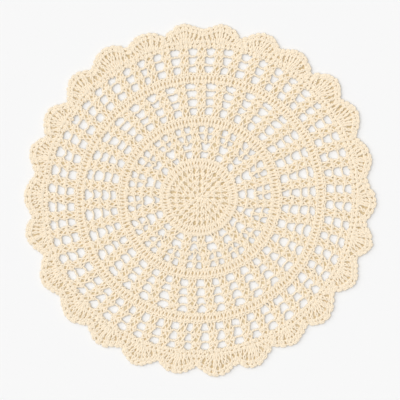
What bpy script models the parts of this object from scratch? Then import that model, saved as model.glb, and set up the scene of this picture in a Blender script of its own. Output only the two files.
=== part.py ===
"""Round crochet placemat: one piece of cotton yarn, worked from the centre out.

A solid centre disc is followed by an inner net, a solid round, a middle net, a second
solid round, an outer net and a border of 26 shells whose scallops make the edge. The mat
is one flat sheet with the larger gaps cut through it. It lies on Z = 0, seen from +Z.
Lengths are in metres and angles in degrees, counter-clockwise from +X.
"""

from math import cos, pi, radians, sin

import bmesh
import bpy

MM = 0.001

# Driving sizes of the mat, about 380 mm across its scallops.
NET_THICK = 2.6 * MM  # the nets and the border
ROUND_THICK = 3.2 * MM  # the tops of the solid rounds
GAP_SHARE = 0.55  # of a column's width, the rest is its pair of tall stitches
GAP_CORNER = 0.60  # where a gap's straight sides end, as a share of its half width

# The rounds were not worked quite true: they are oval, and their centre wanders.
CENTRE = (0.0 * MM, 2.2 * MM)
OVAL_SHARE = 0.010
OVAL_AT = 37.0
WANDER = (  # radius, x, y: how far a round's centre lies from CENTRE
    (41 * MM, -1.1 * MM, 1.0 * MM),
    (83 * MM, -0.8 * MM, 0.7 * MM),
    (107 * MM, 0.4 * MM, 0.4 * MM),
    (130 * MM, 0.3 * MM, -0.3 * MM),
    (150 * MM, 0.2 * MM, -0.9 * MM),
)

# The rows of gaps. Sway is how far the columns lean sideways on their way round, as
# waves of (times round, degrees, place of the crest).
GAP_ROWS = (  # radius, columns, height, first gap at, sway
    (92.2 * MM, 35, 6.0 * MM, 2.80, ((1, 0.38, -41), (2, 0.39, 45), (3, 0.45, -154))),
    (102.4 * MM, 35, 6.2 * MM, 2.74, ((1, 0.41, -75), (2, 0.41, 18), (3, 0.18, -131))),
    (112.1 * MM, 35, 6.2 * MM, 3.01, ((1, 0.62, -108), (2, 0.40, 34))),
    (121.8 * MM, 35, 6.2 * MM, 3.21, ((1, 0.86, -127), (2, 0.28, 18), (3, 0.23, -52))),
    (139.1 * MM, 52, 6.8 * MM, 3.41, ((2, 0.73, 24), (3, 0.37, -48), (5, 0.24, 135))),
    (149.8 * MM, 52, 6.8 * MM, 3.05, ((2, 0.64, 35), (3, 0.27, -53), (5, 0.32, 141))),
    (160.6 * MM, 52, 6.6 * MM, 2.77, ((2, 0.61, 44), (3, 0.27, -35), (5, 0.29, 144))),
)

# The scalloped edge about its own centre, one row for each of the 26 shells: where its
# first valley lies, how deep that valley comes in, and how far the tip reaches.
EDGE_CENTRE = (-0.1 * MM, 1.6 * MM)
EDGE_STEPS = 8
SCALLOPS = (  # valley at, valley radius, tip radius
    (7.0, 181.5 * MM, 190.5 * MM),
    (21.5, 182.5 * MM, 194.5 * MM),
    (35.4, 187.0 * MM, 196.0 * MM),
    (48.2, 182.0 * MM, 192.0 * MM),
    (61.7, 184.0 * MM, 191.5 * MM),
    (75.4, 179.0 * MM, 189.0 * MM),
    (89.0, 183.5 * MM, 189.0 * MM),
    (102.2, 179.5 * MM, 188.0 * MM),
    (115.8, 182.0 * MM, 192.5 * MM),
    (130.0, 183.0 * MM, 190.5 * MM),
    (144.2, 177.5 * MM, 190.0 * MM),
    (158.3, 181.0 * MM, 190.5 * MM),
    (171.5, 181.0 * MM, 190.0 * MM),
    (185.8, 183.0 * MM, 192.0 * MM),
    (200.0, 180.5 * MM, 193.0 * MM),
    (214.9, 185.0 * MM, 193.0 * MM),
    (228.4, 183.5 * MM, 192.0 * MM),
    (241.5, 183.0 * MM, 192.5 * MM),
    (255.4, 182.0 * MM, 190.5 * MM),
    (268.8, 182.5 * MM, 193.0 * MM),
    (282.7, 184.0 * MM, 191.0 * MM),
    (296.3, 179.0 * MM, 187.5 * MM),
    (310.0, 180.5 * MM, 189.5 * MM),
    (325.4, 178.0 * MM, 191.0 * MM),
    (339.3, 182.0 * MM, 192.5 * MM),
    (352.2, 181.5 * MM, 190.0 * MM),
)

# The raised rounds, in section: rows of (radius, height over Z = 0), going out.
RAISED_BASE = 1.6 * MM  # how deep a raised round starts inside the sheet
DISC_SECTION = (
    (3.0 * MM, 3.1 * MM),
    (6.1 * MM, 2.7 * MM),
    (9.1 * MM, 3.2 * MM),
    (12.7 * MM, 2.7 * MM),
    (16.6 * MM, 3.2 * MM),
    (20.3 * MM, 2.7 * MM),
    (24.8 * MM, 3.2 * MM),
    (28.9 * MM, 2.7 * MM),
    (33.4 * MM, 3.2 * MM),
    (36.7 * MM, 2.7 * MM),
    (40.0 * MM, 3.2 * MM),
    (42.0 * MM, 2.4 * MM),
)
DISC_STEPS = 36
ROUND_STEPS = 60
ROUND_RADII = (83.0 * MM, 130.2 * MM)  # the middles of the two solid rounds
ROUND_CREST = 1.7 * MM  # half the width of a solid round's top
ROUND_FOOT = 4.2 * MM  # half its width where it meets the sheet

YARN_COLOUR = (0.87, 0.74, 0.53, 1.0)
YARN_ROUGHNESS = 0.85


def wander(radius):
    """(x, y) of the centre of the round at radius, from CENTRE."""
    rows = WANDER
    if radius <= rows[0][0]:
        return rows[0][1:]
    for (low, x0, y0), (high, x1, y1) in zip(rows, rows[1:]):
        if radius <= high:
            share = (radius - low) / (high - low)
            return x0 + share * (x1 - x0), y0 + share * (y1 - y0)
    return rows[-1][1:]


def on_round(radius, degrees):
    """(x, y) of a point of the round at radius."""
    angle = radians(degrees)
    x, y = wander(radius)
    oval = radius * OVAL_SHARE * cos(2 * (angle - radians(OVAL_AT)))
    reach = radius + oval + x * cos(angle) + y * sin(angle)
    return CENTRE[0] + reach * cos(angle), CENTRE[1] + reach * sin(angle)


def gap(radius, degrees, wide, tall):
    """The six corners of a gap, (x, y), counter-clockwise."""
    half = wide / 2
    corners = (
        (half, 0),
        (half * GAP_CORNER, tall / 2),
        (-half * GAP_CORNER, tall / 2),
        (-half, 0),
        (-half * GAP_CORNER, -tall / 2),
        (half * GAP_CORNER, -tall / 2),
    )
    # Along a round, going right means going clockwise.
    return [on_round(radius + up, degrees - right / radius * 180 / pi) for right, up in corners]


def gaps():
    """The outlines of all the gaps that are cut through."""
    outlines = []
    for radius, columns, tall, first, sway in GAP_ROWS:
        wide = GAP_SHARE * 2 * pi * radius / columns
        for column in range(columns):
            at = first + 360 * column / columns
            lean = sum(size * cos(radians(times * at - crest)) for times, size, crest in sway)
            outlines.append(gap(radius, at + lean, wide, tall))
    return outlines


def edge():
    """The scalloped outline: each scallop is half a sine wave between two valleys."""
    outline = []
    following = SCALLOPS[1:] + SCALLOPS[:1]
    for (start, valley, tip), (end, next_valley, _) in zip(SCALLOPS, following):
        span = (end - start) % 360
        for step in range(EDGE_STEPS):
            share = step / EDGE_STEPS
            foot = valley + share * (next_valley - valley)
            radius = foot + (tip - (valley + next_valley) / 2) * sin(pi * share)
            angle = radians(start + share * span)
            outline.append((EDGE_CENTRE[0] + radius * cos(angle), EDGE_CENTRE[1] + radius * sin(angle)))
    return outline


def cotton():
    """Matt undyed cotton yarn."""
    material = bpy.data.materials.new("natural_cotton")
    material.use_nodes = True
    shader = material.node_tree.nodes["Principled BSDF"]
    shader.inputs["Base Color"].default_value = YARN_COLOUR
    shader.inputs["Roughness"].default_value = YARN_ROUGHNESS
    shader.inputs["Metallic"].default_value = 0.0
    return material


def flat_sheet(name, outlines, thick, collection):
    """A closed sheet on Z = 0 inside the first outline, with the others cut through it."""
    curve = bpy.data.curves.new(name + "_outline", "CURVE")
    curve.dimensions = "2D"
    curve.fill_mode = "BOTH"
    curve.extrude = thick / 2
    for outline in outlines:
        spline = curve.splines.new("POLY")
        spline.points.add(len(outline) - 1)
        for point, (x, y) in zip(spline.points, outline):
            point.co = (x, y, 0, 1)
        spline.use_cyclic_u = True
    drawn = bpy.data.objects.new(name + "_drawn", curve)
    drawn.location.z = thick / 2
    collection.objects.link(drawn)
    bpy.context.view_layer.update()
    graph = bpy.context.evaluated_depsgraph_get()
    mesh = bpy.data.meshes.new_from_object(drawn.evaluated_get(graph))
    mesh.name = name
    welded = bmesh.new()
    welded.from_mesh(mesh)
    bmesh.ops.remove_doubles(welded, verts=welded.verts, dist=0.01 * MM)
    bmesh.ops.recalc_face_normals(welded, faces=welded.faces)
    welded.to_mesh(mesh)
    welded.free()
    sheet = bpy.data.objects.new(name, mesh)
    sheet.matrix_world = drawn.matrix_world
    collection.objects.link(sheet)
    bpy.data.objects.remove(drawn)
    bpy.data.curves.remove(curve)
    return sheet


def turned(name, section, closed, steps, radius, collection):
    """A section of (radius, height) rows turned about its round's own centre, oval like it."""
    mesh = bpy.data.meshes.new(name)
    points = [(out, 0, up) for out, up in section]
    edges = [(k, k + 1) for k in range(len(points) - 1)]
    if closed:
        edges.append((len(points) - 1, 0))
    mesh.from_pydata(points, edges, [])
    helper = bpy.data.objects.new(name, mesh)
    x, y = wander(radius)
    helper.location = (CENTRE[0] + x, CENTRE[1] + y, 0)
    helper.rotation_euler.z = radians(OVAL_AT)
    helper.scale = (1 + OVAL_SHARE, 1 - OVAL_SHARE, 1)
    screw = helper.modifiers.new("turn", "SCREW")
    screw.steps = steps
    screw.render_steps = steps
    screw.use_merge_vertices = True
    screw.merge_threshold = 0.01 * MM
    helper.hide_render = True
    helper.display_type = "WIRE"
    collection.objects.link(helper)
    return helper


def raise_on(sheet, helper):
    """Join a turned helper to the sheet."""
    union = sheet.modifiers.new(helper.name, "BOOLEAN")
    union.operation = "UNION"
    union.solver = "EXACT"
    union.object = helper


def collection_of(name):
    """A new collection in the scene."""
    collection = bpy.data.collections.new(name)
    bpy.context.scene.collection.children.link(collection)
    return collection


def main():
    for old in list(bpy.data.objects):
        bpy.data.objects.remove(old)
    placemat = collection_of("crochet_placemat")
    helpers = collection_of("raised_rounds")

    mat = flat_sheet("mat", [edge()] + gaps(), NET_THICK, placemat)
    mat.data.materials.append(cotton())

    disc = ((0, DISC_SECTION[0][1]),) + DISC_SECTION + ((0, RAISED_BASE),)
    raise_on(mat, turned("raised_disc", disc, False, DISC_STEPS, 0, helpers))
    for number, radius in enumerate(ROUND_RADII, 1):
        section = (
            (radius - ROUND_CREST, ROUND_THICK),
            (radius + ROUND_CREST, ROUND_THICK),
            (radius + ROUND_FOOT, RAISED_BASE),
            (radius - ROUND_FOOT, RAISED_BASE),
        )
        raise_on(mat, turned(f"raised_round_{number}", section, True, ROUND_STEPS, radius, helpers))


main()
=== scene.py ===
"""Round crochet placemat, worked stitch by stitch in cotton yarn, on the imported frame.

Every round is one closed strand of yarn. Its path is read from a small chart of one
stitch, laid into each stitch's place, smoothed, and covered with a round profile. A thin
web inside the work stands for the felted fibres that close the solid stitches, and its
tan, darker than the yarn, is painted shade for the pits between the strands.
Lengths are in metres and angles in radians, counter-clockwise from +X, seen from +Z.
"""

from math import pi, radians

import bmesh
import bpy
import numpy as np
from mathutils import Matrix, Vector


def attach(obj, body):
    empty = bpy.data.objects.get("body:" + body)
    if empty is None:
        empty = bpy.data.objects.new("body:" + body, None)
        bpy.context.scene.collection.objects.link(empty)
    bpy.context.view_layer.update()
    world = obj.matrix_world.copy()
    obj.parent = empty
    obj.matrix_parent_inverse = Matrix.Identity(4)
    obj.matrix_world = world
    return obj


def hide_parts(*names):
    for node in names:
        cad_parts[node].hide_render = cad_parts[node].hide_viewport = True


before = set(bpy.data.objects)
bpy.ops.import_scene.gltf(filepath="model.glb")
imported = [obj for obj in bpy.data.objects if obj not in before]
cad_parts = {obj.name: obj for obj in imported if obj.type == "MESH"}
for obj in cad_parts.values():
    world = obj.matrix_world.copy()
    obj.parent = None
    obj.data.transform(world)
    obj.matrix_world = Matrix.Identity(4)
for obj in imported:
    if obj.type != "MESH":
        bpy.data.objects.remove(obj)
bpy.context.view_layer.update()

MM = 0.001
SEED = 38

# The yarn, and how it lies in the work.
YARN_THICK = 2.20 * MM
YARN_SIDES = 6
CHAIN_TIGHT = 0.77  # a chain is pulled tight, and its yarn is this share as thick
WORK_MIDDLE = 1.60 * MM  # height of the work's middle layer over the table
PLY_COUNT = 4
PLY_TURN = 9.0 * MM  # length of yarn in which a ply goes once round
HAND = 0.18 * MM  # how far a point of a stitch strays, by hand
HAND_UP = 0.5  # and up or down, as a share of that
PRESSED = 0.85  # the work was pressed flat: this share of each chart's out is left
FOOT_LEAST = 0.7  # a stitch's foot is at least this share as wide as its top
BOW_POWER = 1.6  # over 1, a bowed post is widest above its middle
PROFILE_START = np.array((0.35, 0.55, 0.76))  # where a profile starts: across, outwards, up

# Charts of one stitch: rows of (across, up, lift, out). Across is a share of the stitch's
# width, in the direction of work; up is a share of the way from its base to its top; lift
# and out are lengths, away from the centre and towards the viewer. Every stitch but the
# chain runs along its top loop, down behind the stitch that it stands on, round that, and
# up to its top again. The loop is the same in all but the close stitch.
LOOP = (
    (-0.34, 1.0, -0.68 * MM, -0.05 * MM),
    (0.08, 1.0, -0.80 * MM, 0.40 * MM),
    (0.50, 1.0, -0.58 * MM, 0.10 * MM),
    (0.55, 1.0, 0.50 * MM, 0.05 * MM),
    (0.10, 1.0, 0.78 * MM, 0.35 * MM),
)
# A chain is two flat strands, with the next loop drawn through behind them.
CHAIN = (
    (-0.34, 1.0, -0.16 * MM, -0.05 * MM),
    (0.08, 1.0, -0.20 * MM, 0.35 * MM),
    (0.50, 1.0, -0.12 * MM, 0.05 * MM),
    (0.55, 1.0, 0.12 * MM, 0.05 * MM),
    (0.10, 1.0, 0.20 * MM, 0.30 * MM),
    (-0.32, 1.0, 0.12 * MM, -0.20 * MM),
    (0.10, 1.0, -0.05 * MM, -0.60 * MM),
)
# A tall stitch, as in the disc: its strands cross in the middle.
TALL = LOOP + (
    (-0.28, 0.86, 0.00 * MM, -0.35 * MM),
    (-0.22, 0.64, 0.00 * MM, 0.40 * MM),
    (0.00, 0.42, 0.00 * MM, 0.55 * MM),
    (0.22, 0.18, 0.00 * MM, 0.05 * MM),
    (0.20, 0.00, -0.60 * MM, -0.72 * MM),
    (0.00, 0.00, -1.80 * MM, -0.20 * MM),
    (-0.22, 0.00, -0.80 * MM, 0.65 * MM),
    (-0.14, 0.34, 0.00 * MM, -0.40 * MM),
    (0.16, 0.58, 0.00 * MM, -0.30 * MM),
    (0.24, 0.82, 0.00 * MM, 0.30 * MM),
    (0.36, 1.0, -0.85 * MM, -0.55 * MM),
)
# The same as a post of a net: free at both sides, so it flares to its loop and foot.
POST = LOOP + (
    (-0.44, 0.90, 0.00 * MM, -0.40 * MM),
    (-0.24, 0.72, 0.00 * MM, 0.40 * MM),
    (-0.02, 0.54, 0.00 * MM, 0.55 * MM),
    (0.20, 0.36, 0.00 * MM, 0.10 * MM),
    (0.38, 0.06, -0.40 * MM, -0.62 * MM),
    (0.00, 0.00, -1.80 * MM, -0.20 * MM),
    (-0.38, 0.04, -0.40 * MM, 0.55 * MM),
    (-0.18, 0.44, 0.00 * MM, -0.40 * MM),
    (0.16, 0.68, 0.00 * MM, -0.30 * MM),
    (0.40, 0.89, 0.00 * MM, 0.30 * MM),
    (0.36, 1.0, -0.85 * MM, -0.55 * MM),
)
# The same in a shell: its strands cross twice, which parts it in three short strokes.
FAN = LOOP + (
    (-0.24, 0.94, 0.00 * MM, -0.35 * MM),
    (-0.02, 0.80, 0.00 * MM, 0.40 * MM),
    (-0.27, 0.62, 0.00 * MM, 0.50 * MM),
    (0.04, 0.42, 0.00 * MM, 0.35 * MM),
    (0.30, 0.22, 0.00 * MM, 0.10 * MM),
    (0.24, 0.00, -0.60 * MM, -0.72 * MM),
    (0.00, 0.00, -1.80 * MM, -0.20 * MM),
    (-0.24, 0.00, -0.80 * MM, 0.65 * MM),
    (-0.30, 0.24, 0.00 * MM, 0.25 * MM),
    (-0.04, 0.44, 0.00 * MM, -0.30 * MM),
    (0.27, 0.62, 0.00 * MM, 0.10 * MM),
    (0.04, 0.82, 0.00 * MM, -0.30 * MM),
    (0.30, 1.0, -0.85 * MM, -0.55 * MM),
)
# The same in a close round: its loop stands open, with a pit inside.
CLOSE = (
    (-0.34, 1.0, -1.20 * MM, -0.15 * MM),
    (0.02, 1.0, -1.75 * MM, 0.40 * MM),
    (0.40, 1.0, -1.20 * MM, 0.10 * MM),
    (0.55, 1.0, 0.10 * MM, 0.05 * MM),
    (0.20, 1.0, 1.05 * MM, 0.35 * MM),
    (-0.30, 1.0, 0.20 * MM, -0.35 * MM),
    (-0.22, 0.64, 0.00 * MM, 0.30 * MM),
    (0.00, 0.38, 0.00 * MM, 0.55 * MM),
    (0.30, 0.06, -0.20 * MM, -0.52 * MM),
    (0.00, 0.00, -1.80 * MM, -0.20 * MM),
    (-0.30, 0.04, -0.20 * MM, 0.55 * MM),
    (-0.14, 0.34, 0.00 * MM, -0.40 * MM),
    (0.16, 0.60, 0.00 * MM, -0.30 * MM),
    (0.36, 1.0, -0.85 * MM, -0.55 * MM),
)
# A short stitch has one crossing and hardly any post.
SHORT = LOOP + (
    (-0.28, 0.80, 0.00 * MM, -0.40 * MM),
    (0.24, 0.35, 0.00 * MM, 0.35 * MM),
    (0.22, 0.00, -0.30 * MM, -0.72 * MM),
    (0.00, 0.00, -1.70 * MM, -0.20 * MM),
    (-0.26, 0.00, -0.60 * MM, 0.65 * MM),
    (-0.18, 0.45, 0.00 * MM, 0.15 * MM),
    (0.34, 1.0, -0.85 * MM, -0.55 * MM),
)
CHARTS = {
    "tall": TALL,
    "post": POST,
    "fan": FAN,
    "close": CLOSE,
    "short": SHORT,
    "chain": CHAIN,
}
SMOOTH_STEPS = 2  # points of the strand for each row of a chart

# The rounds were not worked quite true: they are oval, and their centre wanders.
CENTRE = np.array((0.0, 2.2)) * MM
OVAL_SHARE = 0.010
OVAL_AT = radians(37.0)
WANDER = np.array(  # radius, x, y: how far a round's centre lies from CENTRE
    (
        (41, -1.1, 1.0),
        (83, -0.8, 0.7),
        (107, 0.4, 0.4),
        (130, 0.3, -0.3),
        (150, 0.2, -0.9),
    )
) * MM

# The nets: radius of each row of gaps, first gap at, and the sway of its columns, as
# waves of (times round, degrees, place of the crest).
INNER_NET = (
    (45.3 * MM, 3.58, ((1, 1.71, 32),)),
    (55.5 * MM, 3.71, ((1, 0.89, 22), (2, 0.51, 60), (4, 0.53, 91))),
    (64.7 * MM, 4.60, ((1, 0.35, -38), (2, 0.40, 74))),
    (74.4 * MM, 4.84, ((1, 0.35, -38), (2, 0.40, 74))),
)
MIDDLE_NET = (
    (92.2 * MM, 2.80, ((1, 0.38, -41), (2, 0.39, 45), (3, 0.45, -154))),
    (102.4 * MM, 2.74, ((1, 0.41, -75), (2, 0.41, 18), (3, 0.18, -131))),
    (112.1 * MM, 3.01, ((1, 0.62, -108), (2, 0.40, 34))),
    (121.8 * MM, 3.21, ((1, 0.86, -127), (2, 0.28, 18), (3, 0.23, -52))),
)
OUTER_NET = (
    (139.1 * MM, 3.41, ((2, 0.73, 24), (3, 0.37, -48), (5, 0.24, 135))),
    (149.8 * MM, 3.05, ((2, 0.64, 35), (3, 0.27, -53), (5, 0.32, 141))),
    (160.6 * MM, 2.77, ((2, 0.61, 44), (3, 0.27, -35), (5, 0.29, 144))),
)
INNER_COLUMNS = 18
MIDDLE_COLUMNS = 35
OUTER_COLUMNS = 52

# The stitches of one column in a row of wide gaps, and in one whose gaps are split.
WIDE = ("chain", "chain", "chain", "post", "post")
SPLIT = ("chain", "chain", "post", "chain", "chain", "post", "post")
SINGLE = SPLIT.index("post")  # the post that splits the gap

# The two posts of a pair, and the chains beside them.
PAIR_SHARE = 0.295  # of a column's width, between the middles of its two posts at the top
SPLIT_PAIR_SHARE = 0.165  # the same in the rows whose gaps are split
PAIR_FEET = 0.66  # and at the foot, as a share of that
PAIR_BOW = 0.11  # how far the two bow apart, as a share of a stitch's width
PAIR_BOW_STRAY = 0.35  # and how much that differs from pair to pair, as a share of it
PAIR_OUT = 2.3 * MM  # how far a pair's tops are drawn out past the chains beside them
SINGLE_OUT = 0.4  # and the top of a single post, as a share of that
CHAIN_ENDS_OUT = 0.5 * MM  # and the chains next to a post
OUT_AT_ENDS = 0.2  # share of it left where a net joins a close round, and of PAIR_OUT twice

# How wide stitches lie, as a share of their chart.
DISC_WIDEN = 2.05  # the open rounds of the disc, where they spread over the chains
DISC_LAST_WIDEN = 0.9
POST_WIDEN = 1.15  # the posts of the nets, which are loose
CLOSE_WIDEN = 0.92
SHELL_WIDEN = 0.92
EDGE_WIDEN = 1.2

# How far stitches stray from their places, by hand.
DISC_STRAY = 0.50 * MM  # the open rounds of the disc
CLOSE_STRAY = 0.40 * MM  # the close rounds
PAIR_STRAY = 0.70 * MM  # a pair, sideways
CHAIN_STRAY = 0.80 * MM  # the chains of a gap, outwards or inwards
NET_STRAY = 0.18 * MM  # each stitch of a net besides
SHELL_STRAY = 0.035  # a shell's stitches along it, as a share of half of it
SHELL_LIFT_STRAY = 0.35 * MM  # and besides
EDGE_STRAY = 0.25 * MM

# The tops of the rounds: radius of the middle of each chain edge.
START_RING = 2.5 * MM  # the small ring that the work starts from
START_RING_POINTS = 12
DISC_TOPS = (9.1 * MM, 16.6 * MM, 24.8 * MM, 33.4 * MM, 41.0 * MM)
DISC_STITCHES = (8, 16, 24, 32)  # open rounds: a tall stitch and a chain each
DISC_FEET_DRAWN = 0.35  # share of the way that two feet are drawn to the stitch they share
DISC_LAST = 72  # stitches of the disc's last round, which is close
CLOSE_STITCHES = 4  # stitches of a close round to a column of the net beside it
INNER_TOPS = (50.0 * MM, 60.2 * MM, 69.3 * MM, 79.0 * MM)
FIRST_SOLID_TOP = 87.5 * MM
MIDDLE_TOPS = (97.6 * MM, 107.0 * MM, 116.5 * MM, 126.3 * MM)
SECOND_SOLID_TOP = 134.0 * MM
OUTER_TOPS = (144.6 * MM, 154.8 * MM, 165.2 * MM)
BORDER_TOP = 169.9 * MM  # the row of short stitches under the shells
NETS = (
    (INNER_NET, INNER_COLUMNS, INNER_TOPS, DISC_TOPS[-1]),
    (MIDDLE_NET, MIDDLE_COLUMNS, MIDDLE_TOPS, FIRST_SOLID_TOP),
    (OUTER_NET, OUTER_COLUMNS, OUTER_TOPS, SECOND_SOLID_TOP),
)

# The scalloped edge about its own centre, one row for each of the 26 shells: the angle of
# a valley in degrees, and in mm its radius, the radius of the tip after it, and how far
# the shell's first half stands out and its second half in.
EDGE_CENTRE = np.array((-0.1, 1.6)) * MM
SCALLOPS = np.array(
    (
        (7.0, 181.5, 190.5, 0.2),
        (21.5, 182.5, 194.5, -0.7),
        (35.4, 187.0, 196.0, 0.4),
        (48.2, 182.0, 192.0, 0.4),
        (61.7, 184.0, 191.5, 1.1),
        (75.4, 179.0, 189.0, 0.7),
        (89.0, 183.5, 189.0, -0.6),
        (102.2, 179.5, 188.0, 0.0),
        (115.8, 182.0, 192.5, 0.1),
        (130.0, 183.0, 190.5, 0.4),
        (144.2, 177.5, 190.0, 0.9),
        (158.3, 181.0, 190.5, 1.6),
        (171.5, 181.0, 190.0, -0.4),
        (185.8, 183.0, 192.0, 0.9),
        (200.0, 180.5, 193.0, -0.4),
        (214.9, 185.0, 193.0, -0.6),
        (228.4, 183.5, 192.0, 0.1),
        (241.5, 183.0, 192.5, 0.1),
        (255.4, 182.0, 190.5, 0.3),
        (268.8, 182.5, 193.0, 0.0),
        (282.7, 184.0, 191.0, 0.9),
        (296.3, 179.0, 187.5, -0.1),
        (310.0, 180.5, 189.5, 0.9),
        (325.4, 178.0, 191.0, 1.6),
        (339.3, 182.0, 192.5, 1.5),
        (352.2, 181.5, 190.0, 1.5),
    )
)
VALLEY_DROP = 0.9  # in mm, as the table: the yarn fills the valleys by this much
SCALLOP_POINT = 1.15  # over 1, a scallop is more pointed than half a wave
SHELL_STITCHES = 9
SHELL_TOP_IN = 6.4 * MM  # from the edge in to the tops of the shells' tall stitches
SHELL_FOOT = (0.38, 0.75)  # a stitch's foot, as a share of its top's place: a + b place^2
EDGE_TOP_IN = 1.7 * MM  # from the edge in to the middle of the last chain edge

# The web: loose fibres inside the work that close the pits between the strands; its tan is
# painted shade.
WEB_THICK = 0.4 * MM
WEB_LOW = 0.80 * MM  # height of its underside over the table
WEB_RISE = 0.60 * MM  # how much higher it lies in the nets, where the posts lift it
WEB_IN = 2.4 * MM  # from the scalloped edge in to the web's edge
WEB_STRIP = 0.36  # of a column's width, along its pairs
WEB_OVER = 1.4 * MM  # how far it reaches from a close round into a net
WEB_EDGE_POINTS = 8 * len(SCALLOPS)
WEB_WELD = 0.001 * MM  # its points closer than this are one
CLUMP_WIDE = 3.0 * MM
NAP_WIDE = 0.5 * MM

# The studio: a pale table, two soft lamps, an even white surround, the camera overhead.
TABLE_HALF = 3.0  # metres from its middle to its sides
TABLE_DROP = 0.1 * MM  # how far it lies under the mat, so that they share no plane
ROOM_LIGHT = 0.50
LAMPS = (  # name, energy, degrees that it spreads over, place
    ("soft_box_at_the_left", 1.42, 60, (-1.6, 0.6, 1.7)),
    ("soft_box_overhead", 0.75, 80, (0.0, 0.0, 2.5)),
)
CAMERA_HEIGHT = 2.0  # over the work's middle
VIEW_WIDE = 0.4312  # metres across the photo, at 1.078 mm a pixel
SENSOR_WIDE = 36  # in mm

rng = np.random.default_rng(SEED)


def wander(radius):
    """How far the round's centre lies from CENTRE, on straight lines between WANDER's rows."""
    return np.stack([np.interp(radius, WANDER[:, 0], WANDER[:, k]) for k in (1, 2)], -1)


def on_round(radius, angle):
    """Points of the oval round of that radius, at those angles.

    CENTRE + reach (cos a, sin a), with a the angle and reach = radius times
    (1 + OVAL_SHARE cos 2(a - OVAL_AT)) + as much of the round's wander as points towards a.
    """
    radius, angle = np.broadcast_arrays(radius, angle)
    way = np.stack([np.cos(angle), np.sin(angle)], -1)
    oval = 1 + OVAL_SHARE * np.cos(2 * (angle - OVAL_AT))
    reach = radius * oval + (wander(radius) * way).sum(-1)
    return CENTRE + reach[..., None] * way


def edge_radius(angle):
    """Radius of the edge from EDGE_CENTRE: half a wave between two valleys, leaning a little.

    foot + (tip - mean foot) sin(pi share)^SCALLOP_POINT + swell sin(2 pi share), with share
    the way from one valley to the next, and foot the straight line between them.
    """
    start = np.radians(SCALLOPS[:, 0])
    angle = (angle - start[0]) % (2 * pi) + start[0]
    k = np.searchsorted(start, angle, side="right") - 1
    after = (k + 1) % len(start)
    span = (start[after] - start[k]) % (2 * pi)
    share = (angle - start[k]) / span
    valley, tip, swell = np.moveaxis(SCALLOPS[k, 1:], -1, 0)
    following = SCALLOPS[after, 1]
    foot = valley + share * (following - valley) - VALLEY_DROP
    rise = tip - (valley + following) / 2 + VALLEY_DROP
    lean = swell * np.sin(2 * pi * share)
    return (foot + rise * np.sin(pi * share) ** SCALLOP_POINT + lean) * MM


def on_edge(inside, angle):
    """Points inside the edge by that much: EDGE_CENTRE + (radius - inside) (cos a, sin a)."""
    way = np.stack([np.cos(angle), np.sin(angle)], -1)
    return EDGE_CENTRE + (edge_radius(angle) - inside)[..., None] * way


def unit(vectors):
    """Vectors over their own lengths."""
    return vectors / np.maximum(np.linalg.norm(vectors, axis=-1, keepdims=True), 1e-9)


def turned_left(vectors):
    """(x, y) to (-y, x)."""
    return np.stack([-vectors[..., 1], vectors[..., 0]], -1)


def lay_stitches(kinds, tops, bases, bow=0.0, widen=1.0):
    """Points of one round's strand, closed, from the stitches' charts.

    tops and bases are (units, stitches, 2). A row at the top is top + across width along
    the edge + lift outwards. Any other row is base + up (top - base) + a step to the side +
    lift along the post, and the step is widen across width + bow width sin(pi up^BOW_POWER).
    The result's columns are x, y, z and the share of YARN_THICK that the strand has there.
    """
    units, count = tops.shape[:2]
    flat_tops = tops.reshape(-1, 2)
    flat_bases = bases.reshape(-1, 2)
    steps = (np.roll(flat_tops, -1, 0) - np.roll(flat_tops, 1, 0)) / 2
    foot_steps = (np.roll(flat_bases, -1, 0) - np.roll(flat_bases, 1, 0)) / 2
    along = unit(steps)
    outwards = -turned_left(along)
    width = np.linalg.norm(steps, axis=-1)
    foot_width = np.minimum(np.linalg.norm(foot_steps, axis=-1), width)
    foot_width = np.maximum(foot_width, FOOT_LEAST * width)
    post = unit(flat_tops - flat_bases)
    side = turned_left(post)
    bows = np.broadcast_to(bow, (units, count)).reshape(-1)
    strand = []
    for place, kind in enumerate(kinds):
        chart = np.array(CHARTS[kind])
        across, up, lift, out = chart.T
        mine = slice(place, None, count)
        top = (up == 1.0)[:, None]
        wide = foot_width[mine, None] + up * (width - foot_width)[mine, None]
        bowed = bows[mine, None] * np.sin(pi * up**BOW_POWER) * width[mine, None]
        shift = widen * across * wide + bowed
        at_top = (
            flat_tops[mine, None]
            + (across * width[mine, None])[..., None] * along[mine, None]
            + lift[:, None] * outwards[mine, None]
        )
        below = (
            flat_bases[mine, None]
            + up[:, None] * (flat_tops - flat_bases)[mine, None]
            + shift[..., None] * side[mine, None]
            + lift[:, None] * post[mine, None]
        )
        flat = np.where(top, at_top, below)
        height = np.broadcast_to(WORK_MIDDLE + PRESSED * out, flat.shape[:2])
        thick = np.full(flat.shape[:2], CHAIN_TIGHT if kind == "chain" else 1.0)
        strand.append(np.concatenate([flat, height[..., None], thick[..., None]], -1))
    points = np.concatenate(strand, 1).reshape(-1, 4)
    points[:, :3] += rng.normal(0, HAND, (len(points), 3)) * (1, 1, HAND_UP)
    return points


def smooth(points):
    """A closed Catmull-Rom curve through the points, SMOOTH_STEPS points a span.

    Each span is a cubic in t whose slope at a point is half the step between its neighbours.
    """
    before, after, beyond = (np.roll(points, k, 0) for k in (1, -1, -2))
    spans = []
    for t in np.arange(SMOOTH_STEPS) / SMOOTH_STEPS:
        spans.append(
            points
            + 0.5 * t * (after - before)
            + 0.5 * t**2 * (2 * before - 5 * points + 4 * after - beyond)
            + 0.5 * t**3 * (3 * points - before - 3 * after + beyond)
        )
    return np.stack(spans, 1).reshape(-1, points.shape[1])


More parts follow.
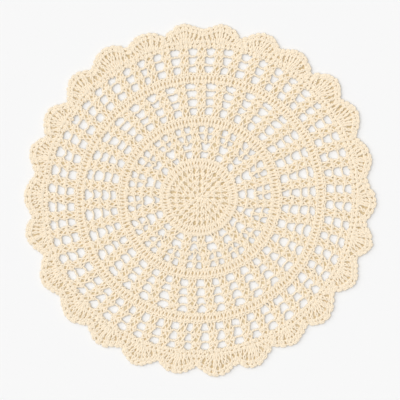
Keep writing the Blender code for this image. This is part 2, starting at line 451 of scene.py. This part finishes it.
def cover(path, thick):
    """Vertices, quads and UVs of a round profile of YARN_SIDES carried along a closed path.

    A point of it is path + YARN_THICK / 2 thick (cos t x_axis + sin t y_axis). The x axis is
    PROFILE_START less its part along the strand, and the y axis is the strand's direction
    crossed with that. U is the length along the strand in metres and V goes once round it.
    """
    forward = unit(np.roll(path, -1, 0) - np.roll(path, 1, 0))
    outwards = unit(path[:, :2] - CENTRE)
    across = turned_left(outwards)
    start = np.concatenate(
        [
            PROFILE_START[0] * across + PROFILE_START[1] * outwards,
            np.full((len(path), 1), PROFILE_START[2]),
        ],
        1,
    )
    x_axis = unit(start - (start * forward).sum(1, keepdims=True) * forward)
    y_axis = np.cross(forward, x_axis)
    turn = 2 * pi * np.arange(YARN_SIDES) / YARN_SIDES
    ring = np.cos(turn)[:, None] * x_axis[:, None] + np.sin(turn)[:, None] * y_axis[:, None]
    vertices = (path[:, None] + (YARN_THICK / 2 * thick)[:, None, None] * ring).reshape(-1, 3)

    i, j = np.meshgrid(np.arange(len(path)), np.arange(YARN_SIDES), indexing="ij")
    next_i, next_j = (i + 1) % len(path), (j + 1) % YARN_SIDES
    quads = np.stack(
        [
            i * YARN_SIDES + j,
            i * YARN_SIDES + next_j,
            next_i * YARN_SIDES + next_j,
            next_i * YARN_SIDES + j,
        ],
        -1,
    ).reshape(-1, 4)
    gone = np.linalg.norm(np.roll(path, -1, 0) - path, axis=1)
    length = np.concatenate([[0], np.cumsum(gone)])
    u = np.stack([length[i], length[i], length[i + 1], length[i + 1]], -1)
    v = np.stack([j, j + 1, j + 1, j], -1) / YARN_SIDES
    return vertices, quads, np.stack([u, v], -1).reshape(-1, 2)


def put_into_mesh(name, strands):
    """One object of several covered strands."""
    vertices, quads, uvs = [], [], []
    count = 0
    for strand in strands:
        path = smooth(strand)
        path[:, 2] = np.maximum(path[:, 2], YARN_THICK / 2)  # no strand dips into the table
        v, q, w = cover(path[:, :3], path[:, 3])
        vertices.append(v)
        quads.append(q + count)
        uvs.append(w)
        count += len(v)
    vertices, quads, uvs = map(np.concatenate, (vertices, quads, uvs))
    mesh = bpy.data.meshes.new(name)
    mesh.vertices.add(len(vertices))
    mesh.vertices.foreach_set("co", vertices.ravel())
    mesh.loops.add(quads.size)
    mesh.loops.foreach_set("vertex_index", quads.ravel())
    mesh.polygons.add(len(quads))
    mesh.polygons.foreach_set("loop_start", np.arange(len(quads)) * 4)
    mesh.polygons.foreach_set("use_smooth", np.ones(len(quads), bool))
    mesh.uv_layers.new(name="along_the_yarn").uv.foreach_set("vector", uvs.ravel())
    mesh.update(calc_edges=True)
    mesh.validate()
    piece = bpy.data.objects.new(name, mesh)
    bpy.context.scene.collection.objects.link(piece)
    return piece


def column_angles(columns, first, sway):
    """Angles of a row's gaps: a + the sum of its waves, size cos(times a - crest).

    a is first + 360 k / columns.
    """
    at = first + 360 * np.arange(columns) / columns
    lean = sum(size * np.cos(np.radians(times * at - crest)) for times, size, crest in sway)
    return np.radians(at + lean)


def between_rows(rows, columns):
    """Column angles at the base of the first row, between rows, and at the last row's top."""
    gaps = [column_angles(columns, first, sway) for _, first, sway in rows]
    return [gaps[0]] + [(a + b) / 2 for a, b in zip(gaps, gaps[1:])] + [gaps[-1]]


def spread(middles, offsets):
    """Angles (columns, stitches): each column's middle + offset times its own width."""
    width = (np.roll(middles, -1) - np.roll(middles, 1)) % (2 * pi) / 2
    return middles[:, None] + np.asarray(offsets) * width[:, None]


def straying(shape, size):
    """How far each stitch of a round strays from its place, a normal draw in x and in y."""
    return rng.normal(0, size, shape + (2,))


def centre_disc():
    """Strands of the start ring, the open rounds and the last close round of the disc.

    Tall stitch k of an open round lies at 2 pi (k + 1/2) / stitches, and its chain half a
    stitch on. A round has eight tall stitches more than the one below, so two of them share
    a stitch here and there, and DISC_FEET_DRAWN brings their feet together.
    """
    turn = 2 * pi * np.arange(START_RING_POINTS) / START_RING_POINTS
    ring = np.tile((0, 0, WORK_MIDDLE, 1.0), (START_RING_POINTS, 1))
    ring[:, :2] = on_round(START_RING, turn)
    strands = [ring]
    below = START_RING
    for stitches, top in zip(DISC_STITCHES, DISC_TOPS):
        middles = 2 * pi * (np.arange(stitches) + 0.5) / stitches
        slots = middles[:, None] + np.array((0, 0.5)) * 2 * pi / stitches
        parent = stitches - DISC_STITCHES[0]
        feet = slots
        if parent:
            shared = (np.floor(middles / (2 * pi) * parent) + 0.5) * 2 * pi / parent
            feet = slots + (DISC_FEET_DRAWN * (shared - middles))[:, None]
        tops = on_round(top, slots) + straying(slots.shape, DISC_STRAY)
        feet = on_round(below, feet)
        strands.append(lay_stitches(("tall", "chain"), tops, feet, widen=DISC_WIDEN))
        below = top
    slots = 2 * pi * np.arange(DISC_LAST)[:, None] / DISC_LAST
    tops = on_round(DISC_TOPS[-1], slots) + straying(slots.shape, CLOSE_STRAY)
    feet = on_round(below, slots) + straying(slots.shape, CLOSE_STRAY)
    strands.append(lay_stitches(("tall",), tops, feet, widen=DISC_LAST_WIDEN))
    return strands


def net(rows, columns, tops, below, kinds):
    """Strands of a net, one for each row: every post stands on the post under it.

    The two posts of a pair lie half a spread to each side of its middle. The stitches
    between two pairs lie evenly from a spread past one middle to a spread before the next.
    The spread is PAIR_SHARE or SPLIT_PAIR_SHARE of a column. A pair stands out by PAIR_OUT,
    and its chains by CHAIN_ENDS_OUT (2 share - 1)^2 + a stray sin(pi share), with share
    the way over the gap. Row -1 is the round below, which only gives row 0 its feet.
    """
    middles = between_rows(rows, columns)
    last = len(tops) - 1
    feet, strands = None, []
    for row in range(-1, len(tops)):
        kind = kinds[max(row, 0)]
        top = tops[row] if row >= 0 else below
        at_end = row in (-1, last)
        split = kind == SPLIT
        gap = len(kind) - 2
        share = (np.arange(gap) + 0.5) / gap
        pairs = pair_middles(middles[row + 1])
        pairs = pairs + rng.normal(0, PAIR_STRAY, columns) / top
        step = (np.roll(pairs, -1) - pairs) % (2 * pi)
        apart = SPLIT_PAIR_SHARE if split else PAIR_SHARE
        half = apart / 2 * np.full(columns, 2 * pi / columns)
        room = step - 4 * half
        between = (pairs + 2 * half)[:, None] + share * room[:, None]
        angles = np.stack([*between.T, pairs + step - half, pairs + step + half], 1)
        out = np.zeros(angles.shape)
        drawn = OUT_AT_ENDS * PAIR_OUT if at_end else PAIR_OUT
        out[:, :gap] += CHAIN_ENDS_OUT * np.abs(2 * share - 1) ** 2
        out[:, :gap] += rng.normal(0, CHAIN_STRAY, (columns, 1)) * np.sin(pi * share)
        out[:, gap:] += drawn
        if at_end:
            out *= OUT_AT_ENDS
        if split:
            out[:, SINGLE] = SINGLE_OUT * drawn
        heads = on_round(top + out, angles) + straying(angles.shape, NET_STRAY)
        if row >= 0:
            stand = heads.copy()
            stand[:, -2:] = feet[:, -2:]
            if split:
                middle_of_gap_below = (feet.shape[1] - 2) // 2
                stand[:, SINGLE] = feet[:, middle_of_gap_below]
            middle = stand[:, -2:].mean(1, keepdims=True)
            stand[:, -2:] = middle + PAIR_FEET * (stand[:, -2:] - middle)
            bow = np.zeros(angles.shape)
            bow[:, -2:] = PAIR_BOW * rng.normal(1, PAIR_BOW_STRAY, (columns, 1)) * (-1, 1)
            strands.append(lay_stitches(kind, heads, stand, bow, POST_WIDEN))
        feet = heads
    return strands


def pair_middles(gaps):
    """Angle half way between each gap and the one before it."""
    return gaps - (gaps - np.roll(gaps, 1)) % (2 * pi) / 2


def inner_net():
    """Two rows of wide gaps, then two rows whose gaps are split by a single post."""
    kinds = (WIDE, WIDE, SPLIT, SPLIT)
    return net(INNER_NET, INNER_COLUMNS, INNER_TOPS, DISC_TOPS[-1], kinds)


def open_net(rows, columns, tops, below):
    """A net of pairs of tall stitches with three chains between."""
    return net(rows, columns, tops, below, (WIDE,) * len(rows))


def solid_round(row, columns, top, below, kind="close"):
    """A close round with CLOSE_STITCHES, evenly spread, to each column of the net beside it."""
    _, first, sway = row
    offsets = (np.arange(CLOSE_STITCHES) - (CLOSE_STITCHES - 1) / 2) / CLOSE_STITCHES
    angles = spread(column_angles(columns, first, sway), offsets).reshape(-1, 1)
    heads = on_round(top, angles) + straying(angles.shape, CLOSE_STRAY)
    feet = on_round(below, angles) + straying(angles.shape, CLOSE_STRAY)
    return [lay_stitches((kind,), heads, feet, widen=CLOSE_WIDEN)]


def shell_angles():
    """The angles at which each scallop starts and ends, counter-clockwise."""
    start = np.radians(SCALLOPS[:, 0])
    span = (np.roll(start, -1) - start) % (2 * pi)
    return start, start + span


def shells():
    """Tops, strand and angles of the shells: each fans its tall stitches out of a short foot.

    One short stitch parts it from the next. A stitch's place is from -1 to 1 over its shell.
    Its top is at middle + place half, and its foot at middle + place (a + b place^2) half,
    with a and b from SHELL_FOOT.
    """
    start, end = shell_angles()
    middle, half = (start + end) / 2, (end - start) / 2
    share = (np.arange(SHELL_STITCHES) - (SHELL_STITCHES - 1) / 2) / (SHELL_STITCHES + 1) * 2
    places = np.append(share, 1.0)
    strayed = places + rng.normal(0, SHELL_STRAY, (len(start), len(places)))
    heads = middle[:, None] + strayed * half[:, None]
    foot = share * (SHELL_FOOT[0] + SHELL_FOOT[1] * share**2) * half[:, None]
    feet = np.concatenate([middle[:, None] + foot, end[:, None]], 1)
    tops = on_edge(SHELL_TOP_IN, heads) + straying(heads.shape, SHELL_LIFT_STRAY)
    kinds = ("fan",) * SHELL_STITCHES + ("short",)
    strand = lay_stitches(kinds, tops, on_round(BORDER_TOP, feet), widen=SHELL_WIDEN)
    return tops, strand, heads


def edge_round(shell_tops, heads):
    """One short stitch on each stitch of the shells, its top EDGE_TOP_IN inside the edge."""
    tops = on_edge(EDGE_TOP_IN, heads) + straying(heads.shape, EDGE_STRAY)
    kinds = ("short",) * heads.shape[1]
    return [lay_stitches(kinds, tops, shell_tops, widen=EDGE_WIDEN)]


def web_height(flat):
    """WEB_LOW, and WEB_RISE more in each net, with an even slope to the close rounds."""
    radii, rises = [], []
    for _, _, tops, below in NETS:
        radii += [below + WEB_OVER, tops[0], tops[-2], tops[-1] - WEB_OVER]
        rises += [0, WEB_RISE, WEB_RISE, 0]
    return WEB_LOW + np.interp(np.linalg.norm(flat - CENTRE, axis=1), radii, rises)


def web_gaps():
    """Outlines of one long gap for each column of a net.

    Its two sides run half of WEB_STRIP of a column from the middles of the pairs.
    """
    outlines = []
    for rows, columns, tops, below in NETS:
        radii = np.array((below + WEB_OVER, *tops[:-1], tops[-1] - WEB_OVER))
        pairs = np.stack([pair_middles(m) for m in between_rows(rows, columns)], 1)
        strip = WEB_STRIP / 2 * 2 * pi / columns
        turn = (np.roll(pairs, -1, 0) - pairs) % (2 * pi)
        sides = (pairs + strip, (pairs + turn - strip)[:, ::-1])
        angles = np.concatenate(sides, 1)
        outlines.extend(on_round(np.concatenate([radii, radii[::-1]]), angles))
    return outlines


def area_within(outline):
    """Half the sum of x y' - y x' round a closed outline."""
    x, y = outline.T
    return abs((x * np.roll(y, -1) - y * np.roll(x, -1)).sum()) / 2


def web():
    """The web, a thin closed sheet with a gap cut for each column of the nets, and its area.

    The area is that within the scalloped edge less that of the gaps.
    """
    turn = 2 * pi * np.arange(WEB_EDGE_POINTS) / WEB_EDGE_POINTS
    curve = bpy.data.curves.new("stitch_web_and_pit_shade", "CURVE")
    curve.dimensions = "2D"
    curve.fill_mode = "BOTH"
    curve.extrude = WEB_THICK / 2
    edge, gaps = on_edge(WEB_IN, turn), web_gaps()
    area = area_within(edge) - sum(area_within(gap) for gap in gaps)
    for outline in [edge] + gaps:
        spline = curve.splines.new("POLY")
        spline.points.add(len(outline) - 1)
        flat = np.zeros((len(outline), 4))
        flat[:, :2] = outline
        flat[:, 3] = 1
        spline.points.foreach_set("co", flat.ravel())
        spline.use_cyclic_u = True
    drawn = bpy.data.objects.new("stitch_web_drawn", curve)
    bpy.context.scene.collection.objects.link(drawn)
    graph = bpy.context.evaluated_depsgraph_get()
    mesh = bpy.data.meshes.new_from_object(drawn.evaluated_get(graph))
    bpy.data.objects.remove(drawn)
    co = np.empty(len(mesh.vertices) * 3, np.float32)
    mesh.vertices.foreach_get("co", co)
    co = co.reshape(-1, 3)
    co[:, 2] += web_height(co[:, :2]) + WEB_THICK / 2
    mesh.vertices.foreach_set("co", co.ravel())
    welded = bmesh.new()
    welded.from_mesh(mesh)
    bmesh.ops.remove_doubles(welded, verts=welded.verts, dist=WEB_WELD)
    bmesh.ops.recalc_face_normals(welded, faces=welded.faces)
    welded.to_mesh(mesh)
    welded.free()
    piece = bpy.data.objects.new("stitch_web_and_pit_shade", mesh)
    bpy.context.scene.collection.objects.link(piece)
    return piece, area


def linear(hex_colour):
    """An sRGB hex colour as linear red, green, blue and alpha."""
    values = [int(hex_colour[k : k + 2], 16) / 255 for k in (1, 3, 5)]
    return [c / 12.92 if c <= 0.04045 else ((c + 0.055) / 1.055) ** 2.4 for c in values] + [1.0]


def add(tree, kind, properties=None, inputs=None):
    """A node with its properties set, and its inputs set to values or linked to outputs."""
    node = tree.nodes.new(kind)
    for name, value in (properties or {}).items():
        setattr(node, name, value)
    for socket, value in (inputs or {}).items():
        if isinstance(value, bpy.types.NodeSocket):
            tree.links.new(value, node.inputs[socket])
        else:
            node.inputs[socket].default_value = value
    return node


def soft_spun_cotton(name, colour, groove_painted_shade):
    """Undyed cotton of a few soft plies, matt with a little bloom of loose fibre.

    The plies show as slanting ridges, with painted shade in the grooves between them: a
    deeper colour where shade falls, which breaks each strand into short bright strokes. They
    are drawn at their real size, as |sin(pi PLY_COUNT (V + U / PLY_TURN))|.
    """
    material = bpy.data.materials.new(name)
    material.use_nodes = True
    tree = material.node_tree
    shader = tree.nodes["Principled BSDF"]
    uv = add(tree, "ShaderNodeUVMap", {"uv_map": "along_the_yarn"})
    parts = add(tree, "ShaderNodeSeparateXYZ", None, {"Vector": uv.outputs["UV"]})
    along = add(
        tree,
        "ShaderNodeMath",
        {"operation": "MULTIPLY"},
        {0: parts.outputs["X"], 1: PLY_COUNT / PLY_TURN},
    )
    phase = add(
        tree,
        "ShaderNodeMath",
        {"operation": "MULTIPLY_ADD"},
        {0: parts.outputs["Y"], 1: float(PLY_COUNT), 2: along.outputs[0]},
    )
    turned = add(
        tree, "ShaderNodeMath", {"operation": "MULTIPLY"}, {0: phase.outputs[0], 1: pi}
    )
    wave = add(tree, "ShaderNodeMath", {"operation": "SINE"}, {0: turned.outputs[0]})
    ridge = add(tree, "ShaderNodeMath", {"operation": "ABSOLUTE"}, {0: wave.outputs[0]})
    # painted shade: the grooves between the plies take the deeper groove colour, for the shade
    # that falls in them
    painted_shade_mix = add(
        tree,
        "ShaderNodeMix",
        {"data_type": "RGBA"},
        {0: ridge.outputs[0], 6: linear(groove_painted_shade), 7: linear(colour)},
    )
    tree.links.new(painted_shade_mix.outputs[2], shader.inputs["Base Color"])
    bump = add(
        tree,
        "ShaderNodeBump",
        None,
        {"Height": ridge.outputs[0], "Distance": 0.25 * MM, "Strength": 0.3},
    )
    tree.links.new(bump.outputs["Normal"], shader.inputs["Normal"])
    shader.inputs["Roughness"].default_value = 0.9
    shader.inputs["Specular IOR Level"].default_value = 0.2
    shader.inputs["Sheen Weight"].default_value = 0.12
    shader.inputs["Sheen Roughness"].default_value = 0.5
    return material


def fibre_with_painted_pit_shade(name, thin_fibre_pit_shade, thick_fibre_pit_shade):
    """Loose carded cotton deep in the work, felted by use: mottled, matt and a little hairy.

    Its tan, darker than the yarn, is painted shade for the pits between the strands, and its
    clumps, CLUMP_WIDE, vary that shade from pit to pit at random. Real fibres are 0.02 mm
    thick, so they are drawn as coarse as NAP_WIDE, which still shows as nap.
    """
    material = bpy.data.materials.new(name)
    material.use_nodes = True
    tree = material.node_tree
    shader = tree.nodes["Principled BSDF"]
    place = add(tree, "ShaderNodeTexCoord").outputs["Object"]
    clumps = add(
        tree,
        "ShaderNodeTexNoise",
        None,
        {"Vector": place, "Scale": 1 / CLUMP_WIDE, "Detail": 1.0},
    )
    contrast = add(
        tree,
        "ShaderNodeMapRange",
        None,
        {"Value": clumps.outputs["Fac"], "From Min": 0.35, "From Max": 0.65},
    )
    # painted shade: both tans stand for the shade in the pits, mixed at random by the clumps
    painted_shade_mix = add(
        tree,
        "ShaderNodeMix",
        {"data_type": "RGBA"},
        {0: contrast.outputs["Result"], 6: linear(thin_fibre_pit_shade), 7: linear(thick_fibre_pit_shade)},
    )
    tree.links.new(painted_shade_mix.outputs[2], shader.inputs["Base Color"])
    fibres = add(
        tree,
        "ShaderNodeTexNoise",
        None,
        {"Vector": place, "Scale": 1 / NAP_WIDE, "Detail": 3.0},
    )
    bump = add(
        tree,
        "ShaderNodeBump",
        None,
        {"Height": fibres.outputs["Fac"], "Distance": 0.2 * MM, "Strength": 0.4},
    )
    tree.links.new(bump.outputs["Normal"], shader.inputs["Normal"])
    shader.inputs["Roughness"].default_value = 0.95
    shader.inputs["Specular IOR Level"].default_value = 0.1
    return material


def plain(name, colour):
    """One even matt colour, for the pale table."""
    material = bpy.data.materials.new(name)
    material.use_nodes = True
    shader = material.node_tree.nodes["Principled BSDF"]
    shader.inputs["Base Color"].default_value = linear(colour)
    shader.inputs["Roughness"].default_value = 0.95
    shader.inputs["Specular IOR Level"].default_value = 0.1
    return material


def worked_rounds():
    """The strands of every round by the name of its piece, from the centre out."""
    rounds = {
        "centre_disc": centre_disc(),
        "inner_net": inner_net(),
        "first_solid_round": solid_round(
            MIDDLE_NET[0], MIDDLE_COLUMNS, FIRST_SOLID_TOP, INNER_TOPS[-1]
        ),
        "middle_net": open_net(MIDDLE_NET, MIDDLE_COLUMNS, MIDDLE_TOPS, FIRST_SOLID_TOP),
        "second_solid_round": solid_round(
            OUTER_NET[0], OUTER_COLUMNS, SECOND_SOLID_TOP, MIDDLE_TOPS[-1]
        ),
        "outer_net": open_net(OUTER_NET, OUTER_COLUMNS, OUTER_TOPS, SECOND_SOLID_TOP),
        "border_foot": solid_round(
            OUTER_NET[-1], OUTER_COLUMNS, BORDER_TOP, OUTER_TOPS[-1], "short"
        ),
    }
    shell_tops, shell_strand, heads = shells()
    rounds["shell_border"] = [shell_strand]
    rounds["edge_round"] = edge_round(shell_tops, heads)
    return rounds


def placemat():
    """The rounds and the web, each riding on the root and standing for the mat."""
    rounds = worked_rounds()
    # the second colour is painted shade for the grooves between the plies
    yarn = soft_spun_cotton("natural_cotton_yarn", "#FAEDD6", "#F3E1C7")
    made = []
    for name, strands in rounds.items():
        piece = put_into_mesh(name, strands)
        piece.data.materials.append(yarn)
        made.append(piece)
    sheet, cut_area = web()
    # the web's two tans, darker than the yarn, are painted shade for the pits between the
    # strands
    sheet.data.materials.append(fibre_with_painted_pit_shade("fibre_with_painted_pit_shade", "#CDB890", "#DDCCAD"))
    for piece in made + [sheet]:
        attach(piece, "root")
        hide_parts("mat")


def table():
    """A pale square far wider than the view."""
    floor_mesh = bpy.data.meshes.new("table")
    signs = ((-1, -1), (1, -1), (1, 1), (-1, 1))
    corners = [(x * TABLE_HALF, y * TABLE_HALF, 0) for x, y in signs]
    floor_mesh.from_pydata(corners, [], [(0, 1, 2, 3)])
    floor = bpy.data.objects.new("table", floor_mesh)
    floor.location.z = -TABLE_DROP
    bpy.context.scene.collection.objects.link(floor)
    floor_mesh.materials.append(plain("pale_table", "#F2F2F2"))


def studio_light():
    """An even surround, and lamps that shine from their places towards the mat."""
    scene = bpy.context.scene
    scene.view_settings.view_transform = "Standard"
    world = bpy.data.worlds.new("studio")
    scene.world = world
    world.use_nodes = True
    background = world.node_tree.nodes["Background"]
    background.inputs["Color"].default_value = (1, 1, 1, 1)
    background.inputs["Strength"].default_value = ROOM_LIGHT
    for name, energy, spread_angle, location in LAMPS:
        light = bpy.data.lights.new(name, "SUN")
        light.energy = energy
        light.angle = radians(spread_angle)
        lamp = bpy.data.objects.new(name, light)
        lamp.location = location
        lamp.rotation_mode = "QUATERNION"
        lamp.rotation_quaternion = Vector(location).to_track_quat("Z", "Y")
        scene.collection.objects.link(lamp)


def camera_overhead():
    """Straight above the mat, as in the photo: lens = sensor height / width of the view."""
    camera = bpy.data.cameras.new("camera")
    camera.sensor_width = SENSOR_WIDE
    camera.lens = SENSOR_WIDE * CAMERA_HEIGHT / VIEW_WIDE
    eye = bpy.data.objects.new("camera", camera)
    eye.location = (0, 0, CAMERA_HEIGHT + WORK_MIDDLE)
    bpy.context.scene.collection.objects.link(eye)
    bpy.context.scene.camera = eye


def main():
    placemat()
    table()
    studio_light()
    camera_overhead()


main()
